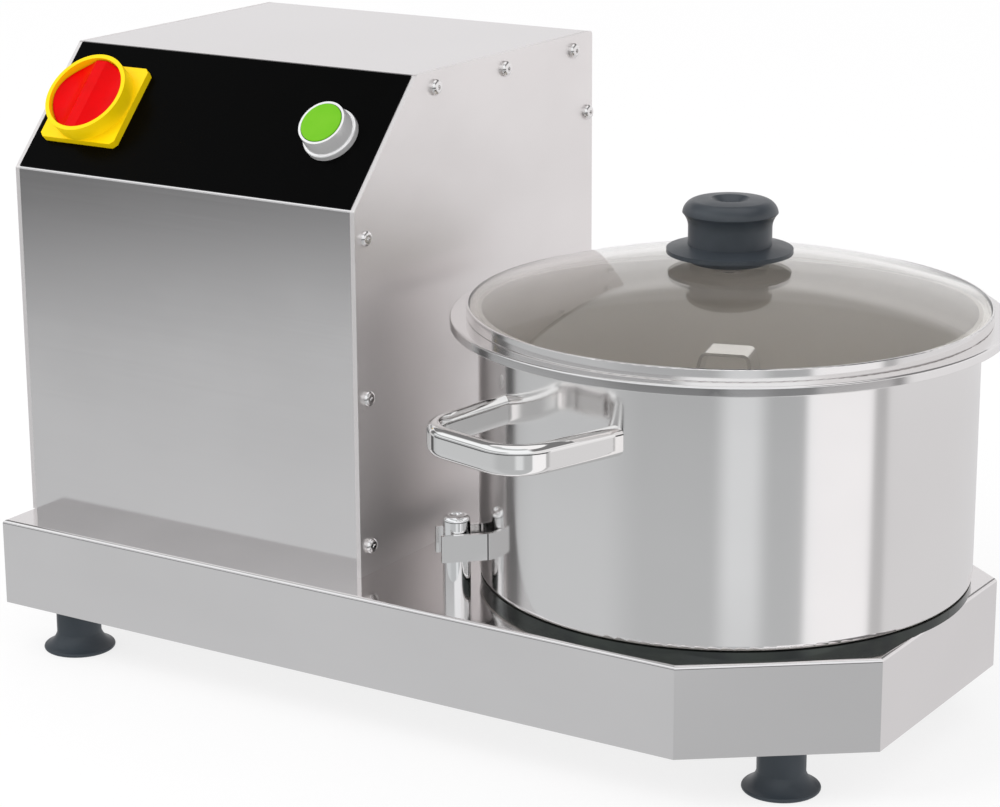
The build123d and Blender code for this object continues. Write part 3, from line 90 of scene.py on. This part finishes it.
class Value:
    """A shader socket that takes part in sums, so that 1 - mask works."""

    def __init__(self, graph, socket):
        self.graph = graph
        self.socket = socket

    def sum_node(self, operation, *numbers):
        node = self.graph.make("ShaderNodeMath", {"operation": operation}, dict(enumerate(numbers)))
        return Value(self.graph, node.outputs[0])

    def __add__(self, other):
        return self.sum_node("ADD", self, other)

    def __sub__(self, other):
        return self.sum_node("SUBTRACT", self, other)

    def __rsub__(self, other):
        return self.sum_node("SUBTRACT", other, self)

    def __mul__(self, other):
        return self.sum_node("MULTIPLY", self, other)

    def __pow__(self, other):
        return self.sum_node("POWER", self, other)

    def __mod__(self, other):
        return self.sum_node("MODULO", self, other)

    __radd__ = __add__
    __rmul__ = __mul__

    def size(self):
        return self.sum_node("ABSOLUTE", self)

    def most(self, other):
        return self.sum_node("MAXIMUM", self, other)

    def ramp(self, low, high):
        """0 at low, 1 at high, smooth between them."""
        node = self.graph.make(
            "ShaderNodeMapRange",
            {"interpolation_type": "SMOOTHSTEP"},
            {"Value": self, "From Min": low, "From Max": high, "To Min": 0.0, "To Max": 1.0},
        )
        return Value(self.graph, node.outputs[0])


class Graph:
    """The nodes of one material, or of the world."""

    def __init__(self, owner):
        owner.use_nodes = True
        self.tree = owner.node_tree
        self.tree.nodes.clear()

    def make(self, kind, settings=None, sockets=None):
        node = self.tree.nodes.new(kind)
        for name, setting in (settings or {}).items():
            setattr(node, name, setting)
        for name, given in (sockets or {}).items():
            if isinstance(given, Value):
                self.tree.links.new(given.socket, node.inputs[name])
            else:
                node.inputs[name].default_value = given
        return node

    def value(self, kind, settings=None, sockets=None, output=0):
        return Value(self, self.make(kind, settings, sockets).outputs[output])

    def place(self, scale=(1, 1, 1), offset=(0, 0, 0)):
        """Object coordinates in metres, stretched and moved."""
        where = self.value("ShaderNodeTexCoord", output="Object")
        return self.value(
            "ShaderNodeMapping", None, {"Vector": where, "Scale": scale, "Location": offset}
        )

    def parts(self, vector):
        node = self.make("ShaderNodeSeparateXYZ", None, {0: vector})
        return [Value(self, output) for output in node.outputs]

    def noise(self, vector, scale, detail, roughness):
        return self.value(
            "ShaderNodeTexNoise",
            None,
            {"Vector": vector, "Scale": scale, "Detail": detail, "Roughness": roughness},
        )

    def mix(self, share, first, second):
        """Between two colours."""
        return self.value(
            "ShaderNodeMix",
            {"data_type": "RGBA"},
            {0: share, 6: first, 7: second},
            output=2,
        )

    def bump(self, height, strength, distance):
        return self.value(
            "ShaderNodeBump", None, {"Height": height, "Strength": strength, "Distance": distance}
        )

    def finish(self, shader, surface="ShaderNodeOutputMaterial"):
        self.make(surface, None, {"Surface": shader})


def choose(share, first, second):
    """The first where share is 1, the second where it is 0."""
    return share * first + (1 - share) * second


def rgb(red, green, blue):
    """A written colour, 0 to 255, as the linear colour of a socket."""
    linear = []
    for part in (red, green, blue):
        share = part / 255
        linear.append(share / 12.92 if share <= 0.04045 else ((share + 0.055) / 1.055) ** 2.4)
    return (*linear, 1.0)


def shaded(tone, share, lift=0.0):
    """The same colour, lighter or darker."""
    return tuple(min(1.0, part * share + lift) for part in tone[:3]) + (1.0,)


# ------------------------------------------------------------------ studio


class Card(NamedTuple):
    """An upright card that gives or takes light: how much, and where it stands, in degrees.

    Heading 0 is to the machine's right, 90 behind it, 180 to its left and -90 in front.
    """

    level: float
    heading: float
    half_width: float
    edge: float


class Strip(NamedTuple):
    """A level strip that takes light: how much, and its height above the horizon, in degrees."""

    level: float
    low: float
    high: float
    edge: float


FULL_TURN = 360
HALF_TURN = 180

# Only reflections see the cards and strips, and a level of 1 is white. The rest is lit evenly.
WHITE = 1.0
EVEN_LIGHT = 0.98
NEAR_WHITE = (1, 0.99, 1, 1)
COOL_WHITE = (0.965, 0.985, 1, 1)
HORIZON = (-1.5, 1.5)
FRONT_HALF = Card(level=1.0, heading=-100, half_width=75, edge=8)

# Below the horizon, in degrees down: what upright faces mirror.
FLOOR_DARKEST = 0.05
FLOOR_FAR = 0.45
FLOOR_MIDDLE = 0.41
FLOOR_NEAREST = 0.06
BACK_RIGHT_TOP = 0.14
FAR_ENDS = (3, 6)
MIDDLE_STARTS = (10.8, 15.0)
LEFT_STARTS = (11, 13)
BACK_RIGHT_TOP_ENDS = (12.5, 16)
NEAR_STARTS = (12.6, 13.8)
NEAREST_STARTS = (14, 19)
FRONT_RIGHT_ENDS = (20, 23)
FRONT_LEFT_CARD = Card(level=0.09, heading=-140, half_width=30, edge=12)
FRONT_RIGHT_CARD = Card(level=0.26, heading=-55, half_width=9, edge=5)
RIGHT_CARD = Card(level=0.97, heading=-9.5, half_width=18, edge=4)
BACK_RIGHT_CARD = Card(level=0.70, heading=62, half_width=50, edge=5)
BACK_LEFT_CARD = Card(level=0.98, heading=140, half_width=30, edge=5)
LEFT_SHADE = Card(level=0.8, heading=179, half_width=6, edge=3)
LEFT_CARD = Card(level=0.6, heading=180, half_width=12, edge=5)

# Above the horizon, in degrees up: what level and sloping faces mirror.
FRONT_LOWEST = 0.25
FRONT_WALL = 0.55
FRONT_HIGH = 0.22
FRONT_WALL_STARTS = (1, 5)
UPPER_CARD_STARTS = (6, 9)
FRONT_HIGH_STARTS = (21, 26)
UPPER_SHADE_ENDS = (22, 26)
FRONT_LOW_STRIP = Strip(level=0.42, low=13.5, high=20, edge=1.5)
FRONT_HIGH_STRIP = Strip(level=0.5, low=52, high=70, edge=3)
BACK_LOW_STRIP = Strip(level=0.2, low=5, high=22, edge=2)
BACK_HIGH_STRIP = Strip(level=0.8, low=26, high=56, edge=2)
UPPER_CARD = Card(level=0.98, heading=-45, half_width=40, edge=10)
UPPER_SHADE = Card(level=0.8, heading=181, half_width=8, edge=4)


class Mirrored:
    """The light that polished steel mirrors, by the heading and the height of the reflection."""

    def __init__(self, graph):
        toward = graph.value("ShaderNodeTexCoord", output="Generated")
        east, north, up = graph.parts(toward)
        self.turn = north.sum_node("ARCTAN2", north, east) * math.degrees(1)
        self.height = up.sum_node("ARCSINE", up) * math.degrees(1)
        self.front = self.within(FRONT_HALF)

    def within(self, card):
        """1 at the card's headings, 0 away from them."""
        turned = (self.turn - card.heading + FULL_TURN + HALF_TURN) % FULL_TURN
        away = (turned - HALF_TURN).size()
        return 1 - away.ramp(card.half_width - card.edge, card.half_width + card.edge)

    def light(self, card):
        return card.level * self.within(card)

    def shade(self, strip):
        inside = self.height.ramp(strip.low - strip.edge, strip.low + strip.edge)
        past = self.height.ramp(strip.high - strip.edge, strip.high + strip.edge)
        return strip.level * (inside * (1 - past))

    def below(self):
        """The floor, and the cards that stand on it."""
        down = self.height * -1
        near = down.ramp(*NEAR_STARTS)
        left = down.ramp(*LEFT_STARTS)
        level = FLOOR_DARKEST + FLOOR_MIDDLE * down.ramp(*MIDDLE_STARTS)
        level = level + FLOOR_NEAREST * down.ramp(*NEAREST_STARTS)
        level = level + FLOOR_FAR * (1 - down.ramp(*FAR_ENDS))
        level = level + self.light(FRONT_LEFT_CARD)
        level = level + self.light(FRONT_RIGHT_CARD) * near * (1 - down.ramp(*FRONT_RIGHT_ENDS))
        level = level.most(self.light(RIGHT_CARD) * near)
        back_right = BACK_RIGHT_CARD.level + BACK_RIGHT_TOP * (1 - down.ramp(*BACK_RIGHT_TOP_ENDS))
        level = level.most(back_right * self.within(BACK_RIGHT_CARD))
        level = level.most(self.light(BACK_LEFT_CARD))
        level = level * (1 - self.light(LEFT_SHADE) * left)
        return level.most(self.light(LEFT_CARD) * (1 - left))

    def above(self):
        """The walls and the ceiling."""
        height = self.height
        over_front = FRONT_LOWEST + FRONT_WALL * height.ramp(*FRONT_WALL_STARTS)
        over_front = over_front - self.shade(FRONT_LOW_STRIP)
        over_front = over_front + FRONT_HIGH * height.ramp(*FRONT_HIGH_STARTS)
        over_front = over_front.most(self.light(UPPER_CARD) * height.ramp(*UPPER_CARD_STARTS))
        over_front = over_front * (1 - self.shade(FRONT_HIGH_STRIP))
        over_back = 1 - self.shade(BACK_LOW_STRIP) - self.shade(BACK_HIGH_STRIP)
        level = choose(self.front, over_front, over_back)
        return level * (1 - self.light(UPPER_SHADE) * (1 - height.ramp(*UPPER_SHADE_ENDS)))


def light_studio():
    world = bpy.data.worlds.new("studio")
    bpy.context.scene.world = world
    graph = Graph(world)
    mirrored = Mirrored(graph)
    level = choose(mirrored.height.ramp(*HORIZON), mirrored.above(), mirrored.below())
    rays = graph.make("ShaderNodeLightPath")
    glossy = Value(graph, rays.outputs["Is Glossy Ray"])
    through = Value(graph, rays.outputs["Is Transmission Ray"])
    camera = Value(graph, rays.outputs["Is Camera Ray"])
    strength = choose(glossy, level, EVEN_LIGHT)
    strength = choose(through, WHITE, strength)
    strength = choose(camera, WHITE, strength)
    tint = graph.mix(glossy * mirrored.front, NEAR_WHITE, COOL_WHITE)
    light = graph.value("ShaderNodeBackground", None, {"Color": tint, "Strength": strength})
    graph.finish(light, "ShaderNodeOutputWorld")


def add_lamp(name, place, aim, size, power):
    lamp = bpy.data.lights.new(name, "AREA")
    lamp.shape = "DISK"
    lamp.size = size
    lamp.energy = power
    holder = bpy.data.objects.new(name, lamp)
    holder.location = place
    holder.rotation_euler = (Vector(aim) - Vector(place)).to_track_quat("-Z", "Y").to_euler()
    holder.visible_glossy = False
    bpy.context.collection.objects.link(holder)


FLOOR_REACH = 12.0
FLOOR_TONE = (0.97, 0.97, 0.97, 1)
FLOOR_GLOW_SHARE = 0.76


def lay_floor():
    """A pale floor that glows by itself, so that only a soft shadow shows on it."""
    mesh = bpy.data.meshes.new("studio_floor")
    shape = bmesh.new()
    bmesh.ops.create_grid(shape, x_segments=1, y_segments=1, size=FLOOR_REACH)
    shape.to_mesh(mesh)
    shape.free()
    floor = bpy.data.objects.new("studio_floor", mesh)
    bpy.context.collection.objects.link(floor)
    floor.visible_glossy = False
    pale = bpy.data.materials.new("floor_pale")
    graph = Graph(pale)
    matt = graph.value("ShaderNodeBsdfDiffuse", None, {"Color": FLOOR_TONE})
    glow = graph.value("ShaderNodeEmission", None, {"Color": rgb(255, 255, 255), "Strength": WHITE})
    both = graph.value("ShaderNodeMixShader", None, {0: FLOOR_GLOW_SHARE, 1: matt, 2: glow})
    graph.finish(both)
    mesh.materials.append(pale)


light_studio()
add_lamp("key_lamp", place=(-0.9, -1.4, 1.9), aim=(0, 0, 0.1), size=1.2, power=14)
lay_floor()

# ------------------------------------------------------------------ materials

STEEL_TONE = (0.875, 0.852, 0.85, 1)
PALE_STEEL = (0.90, 0.885, 0.88, 1)
SOFT_STEEL = (0.90, 0.868, 0.862, 1)
CHROME_TONE = (0.92, 0.92, 0.92, 1)
HANDLE_TONE = (0.92, 0.91, 0.9, 1)
ALUMINIUM_TONE = (0.62, 0.62, 0.63, 1)
IRON_TONE = (0.22, 0.21, 0.2, 1)
GLASS_TONE = (0.955, 0.945, 0.915, 1)

# Patterns, as grains or clouds to the metre. Depths are in metres.
LEVEL_BRUSHING = (6, 6, 900)
EVEN_GRAIN = (500, 500, 500)
STEEL_CLOUDS = (9, 9, 14)
STEEL_DEPTH = 0.00002
MOULDED_TEXTURE = 1400
MOULDED_CLOUDS = 60
MOULDED_DEPTH = 0.00003
GLASS_FILM = 30

# How wear shows: from where to where in a pattern, and what it does to tone and roughness.
STEEL_RUBBED = (0.25, 0.8)
STEEL_SMOOTHEST = 0.85
STEEL_RUBBED_DULLER = 0.35
STEEL_LINES_DULLER = 0.05
MOULDED_WORN = (0.3, 0.75)
MOULDED_SMOOTHEST = 0.9
MOULDED_WORN_DULLER = 0.25
MOULDED_WORN_LIFT = 0.004
GLASS_FILM_ROUGHNESS = 0.02

# The bowl, from its axis and down from its rim.
BOWL_RADIUS = 0.12
BOWL_WALL = 0.0008
# Under the rim, a belt of painted light on the inner wall: where it starts, and its paler tone.
PAINTED_LIGHT_BELT_EDGE = (-0.024, -0.021)
BOWL_RUBBED = (0.885, 0.87, 0.865, 1)
BOWL_INSIDE = (0.86, 0.825, 0.785, 1)
BOWL_PAINTED_LIGHT_BELT = (0.93, 0.90, 0.875, 1)
BOWL_ROUGHNESS = 0.10
BOWL_RUBBED_ROUGHNESS = 0.03
BOWL_INSIDE_ROUGHNESS = 0.58
BOWL_GRAIN = 0.04


def principled(graph, sockets):
    shader = graph.value("ShaderNodeBsdfPrincipled", None, sockets)
    graph.finish(shader)


def brushed(graph, lines):
    """The brushing of bare metal, and how far its clouds are rubbed, each from 0 to 1."""
    brushing = graph.noise(graph.place(lines), 1.0, detail=2.0, roughness=0.6)
    clouds = graph.noise(graph.place(STEEL_CLOUDS), 1.0, detail=3.0, roughness=0.55)
    return brushing, clouds.ramp(*STEEL_RUBBED)


def steel(name, tone, roughness, grain=0.05, lines=LEVEL_BRUSHING, cloud=0.03, metallic=1.0):
    """Bare metal: brushing lines or an even grain, faint clouds and a slightly uneven polish."""
    material = bpy.data.materials.new(name)
    graph = Graph(material)
    brushing, rubbed = brushed(graph, lines)
    uneven = roughness * STEEL_SMOOTHEST + roughness * STEEL_RUBBED_DULLER * rubbed
    principled(
        graph,
        {
            "Base Color": graph.mix(rubbed, tone, shaded(tone, 1 - cloud)),
            "Metallic": metallic,
            "Roughness": uneven + STEEL_LINES_DULLER * (brushing - 0.5),
            "Normal": graph.bump(brushing, grain, STEEL_DEPTH),
        },
    )
    return material


def plain(name, tone, roughness, worn=None, metallic=0.0, speck=0.06, grain=0.25, specular=0.5):
    """Moulded plastic, rubber, paint or film: a fine texture, clouds and lighter wear."""
    material = bpy.data.materials.new(name)
    graph = Graph(material)
    texture = graph.noise(graph.place(), MOULDED_TEXTURE, detail=2.0, roughness=0.6)
    clouds = graph.noise(graph.place(), MOULDED_CLOUDS, detail=3.0, roughness=0.6)
    clouds = clouds.ramp(*MOULDED_WORN)
    worn = worn or shaded(tone, 1 + speck * 2, MOULDED_WORN_LIFT)
    uneven = roughness * MOULDED_SMOOTHEST + roughness * MOULDED_WORN_DULLER * clouds
    principled(
        graph,
        {
            "Base Color": graph.mix(clouds, tone, worn),
            "Metallic": metallic,
            "Roughness": uneven,
            "Specular IOR Level": specular,
            "Normal": graph.bump(texture, grain, MOULDED_DEPTH),
        },
    )
    return material


def bowl_steel(name):
    """Polished outside; the inside is warmer and duller, with a painted belt of light under the
    rim.
    """
    material = bpy.data.materials.new(name)
    graph = Graph(material)
    low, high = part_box("bowl_shell")
    middle = (low + high) / 2
    across, deep, up = graph.parts(graph.place(offset=(-middle.x, -middle.y, -high.z)))
    from_axis = (across * across + deep * deep) ** 0.5
    inside = 1 - from_axis.ramp(BOWL_RADIUS - BOWL_WALL, BOWL_RADIUS - BOWL_WALL / 2)
    brushing, rubbed = brushed(graph, LEVEL_BRUSHING)
    polished = graph.mix(rubbed, PALE_STEEL, BOWL_RUBBED)
    # The inside's tone, with the belt of painted light under the rim.
    inside_and_painted_light = graph.mix(up.ramp(*PAINTED_LIGHT_BELT_EDGE), BOWL_INSIDE, BOWL_PAINTED_LIGHT_BELT)
    outer_roughness = BOWL_ROUGHNESS + BOWL_RUBBED_ROUGHNESS * rubbed
    principled(
        graph,
        {
            "Base Color": graph.mix(inside, polished, inside_and_painted_light),
            "Metallic": 1.0,
            "Roughness": outer_roughness + BOWL_INSIDE_ROUGHNESS * inside,
            "Normal": graph.bump(brushing, BOWL_GRAIN, STEEL_DEPTH),
        },
    )
    return material


def clear_glass(name):
    """Clear glass with a trace of uneven film on it."""
    material = bpy.data.materials.new(name)
    graph = Graph(material)
    film = graph.noise(graph.place(), GLASS_FILM, detail=3.0, roughness=0.6)
    principled(
        graph,
        {
            "Base Color": GLASS_TONE,
            "Roughness": film * GLASS_FILM_ROUGHNESS,
            "IOR": 1.5,
            "Transmission Weight": 1.0,
        },
    )
    return material


def metals():
    even = {"lines": EVEN_GRAIN}
    return {
        "base_steel": steel("base_satin_steel", STEEL_TONE, 0.11),
        "housing_steel": steel("housing_satin_steel", STEEL_TONE, 0.11),
        "bowl_steel": bowl_steel("bowl_satin_steel"),
        "screw_steel": steel("screw_bright_steel", PALE_STEEL, 0.12, grain=0.2, **even),
        "knife_steel": steel("knife_ground_steel", PALE_STEEL, 0.15, grain=0.4, **even),
        "shaft_steel": steel("shaft_turned_steel", STEEL_TONE, 0.2, grain=0.3),
        "pillar_chrome": steel("pillar_chrome", CHROME_TONE, 0.04, cloud=0.01, **even),
        "handle_chrome": steel("handle_polished_steel", HANDLE_TONE, 0.05, cloud=0.01, **even),
        "cast_aluminium": steel(
            "motor_cast_aluminium", ALUMINIUM_TONE, 0.45, grain=0.5, cloud=0.08, **even
        ),
        "stator_iron": steel("stator_iron", IRON_TONE, 0.5, grain=0.5, cloud=0.1, **even),
    }


def rubbers():
    return {
        "foot_rubber": plain("foot_rubber", rgb(47, 55, 62), 0.45),
        "seat_rubber": plain(
            "seat_rubber", rgb(60, 63, 63), 0.15, worn=rgb(70, 75, 71), metallic=0.75, grain=0.03
        ),
        "belt_rubber": plain("belt_rubber", rgb(30, 30, 31), 0.7),
    }


def controls():
    """The panel, the switch, the button, the lid's knob and the plastic parts inside."""
    return {
        "panel_black": plain("panel_black", rgb(2, 2, 2), 0.3, worn=rgb(3, 3, 3), specular=0.03),
        "switch_yellow": plain("switch_yellow", rgb(252, 216, 2), 0.4, specular=0.2, speck=0.02),
        "switch_red": plain("switch_red", rgb(226, 0, 6), 0.35, worn=rgb(212, 2, 4), specular=0.08),
        "button_green": plain(
            "button_green", rgb(108, 186, 30), 0.4, worn=rgb(116, 190, 38), specular=0.12
        ),
        "button_bezel": plain(
            "button_barrel_satin", rgb(246, 246, 246), 0.18, metallic=0.45, speck=0.01, grain=0.03
        ),
        "knob_plastic": plain("knob_charcoal", rgb(54, 60, 66), 0.36, grain=0.12),
        "switch_black": plain("switch_black", rgb(28, 28, 30), 0.45),
        "contactor_grey": plain("contactor_grey", rgb(150, 152, 150), 0.5),
    }


def dress_nodes():
    """Each node takes the finish of its slot, and the side panels a softer steel."""
    finishes = {**metals(), **rubbers(), **controls(), "lid_glass": clear_glass("lid_glass")}
    for part in frame["record"]["subparts"]:
        surface = nodes[part["node"]].data
        surface.materials.clear()
        surface.materials.append(finishes[part["material_slot"]])
    side_steel = steel("side_soft_steel", SOFT_STEEL, 0.36, grain=0.02, metallic=0.8)
    for panel in ("side_panel_left", "side_panel_right"):
        nodes[panel].data.materials[0] = side_steel


dress_nodes()

# ------------------------------------------------------------------ seams

LINE_SIDES = 10

# Where the fork's two prongs meet the bowl's wall.
FORK_HEADING = math.radians(223.7)
FORK_HALF_WIDTH = 0.0091
WELD_RADIUS = 0.0003

# The base pan's cut-off corners: how much of its length and of its depth each takes.
CUT_ALONG = 0.0755
CUT_DEEP = 0.058
SEAM_RADIUS = 0.0002
SEAM_SUNK = 0.00022
SEAM_END_GAP = 0.002


def grow_line(shape, foot, rise, radius):
    """A fine upright line of a seam, closed at both ends."""
    circle = bmesh.ops.create_circle(shape, cap_ends=True, segments=LINE_SIDES, radius=radius)
    ring = circle["verts"]
    bmesh.ops.translate(shape, verts=ring, vec=foot)
    cap = [face for face in shape.faces if ring[0] in face.verts]
    grown = bmesh.ops.extrude_face_region(shape, geom=cap)["geom"]
    tops = [part for part in grown if isinstance(part, bmesh.types.BMVert)]
    bmesh.ops.translate(shape, verts=tops, vec=(0, 0, rise))


def seam_piece(shape, name, material, body):
    bmesh.ops.recalc_face_normals(shape, faces=shape.faces)
    mesh = bpy.data.meshes.new(name)
    shape.to_mesh(mesh)
    shape.free()
    piece = bpy.data.objects.new(name, mesh)
    bpy.context.collection.objects.link(piece)
    mesh.materials.append(material)
    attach(piece, body)


def corner_seams(material):
    """A fine dark line up each bent corner on the pan's right-hand side: painted shade of the seam.
    """
    low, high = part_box("base_deck")
    rise = high.z - low.z - 2 * SEAM_END_GAP
    slant = Vector((CUT_DEEP, CUT_ALONG)).normalized()
    shape = bmesh.new()
    for side in (-1, 1):
        edge_y = low.y if side < 0 else high.y
        slanted = Vector((slant.x, side * slant.y))
        for corner, face in (
            (Vector((high.x - CUT_ALONG, edge_y)), Vector((0, side))),
            (Vector((high.x, edge_y - side * CUT_DEEP)), Vector((1, 0))),
        ):
            outward = (slanted + face).normalized()
            foot = corner - outward * SEAM_SUNK
            grow_line(shape, (foot.x, foot.y, low.z + SEAM_END_GAP), rise, SEAM_RADIUS)
    seam_piece(shape, "corner_seams", material, "machine")


def fork_seams(material):
    """The dark weld line where each prong of the fork meets the bowl's wall."""
    low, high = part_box("bowl_shell")
    middle = (low + high) / 2
    fork_low, fork_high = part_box("bowl_fork")
    out = math.sqrt(BOWL_RADIUS**2 - FORK_HALF_WIDTH**2)
    shape = bmesh.new()
    for side in (-1, 1):
        spot = Matrix.Rotation(FORK_HEADING, 2) @ Vector((out, side * FORK_HALF_WIDTH))
        foot = (middle.x + spot.x, middle.y + spot.y, fork_low.z)
        grow_line(shape, foot, fork_high.z - fork_low.z, WELD_RADIUS)
    seam_piece(shape, "fork_welds", material, "bowl")


# Dark lines: painted shade in the pan's corner seams, and the fork's weld lines.
seam_shade_and_weld = plain("seam_shade_and_weld", rgb(82, 80, 82), 0.5, metallic=0.6)
corner_seams(seam_shade_and_weld)
fork_seams(seam_shade_and_weld)
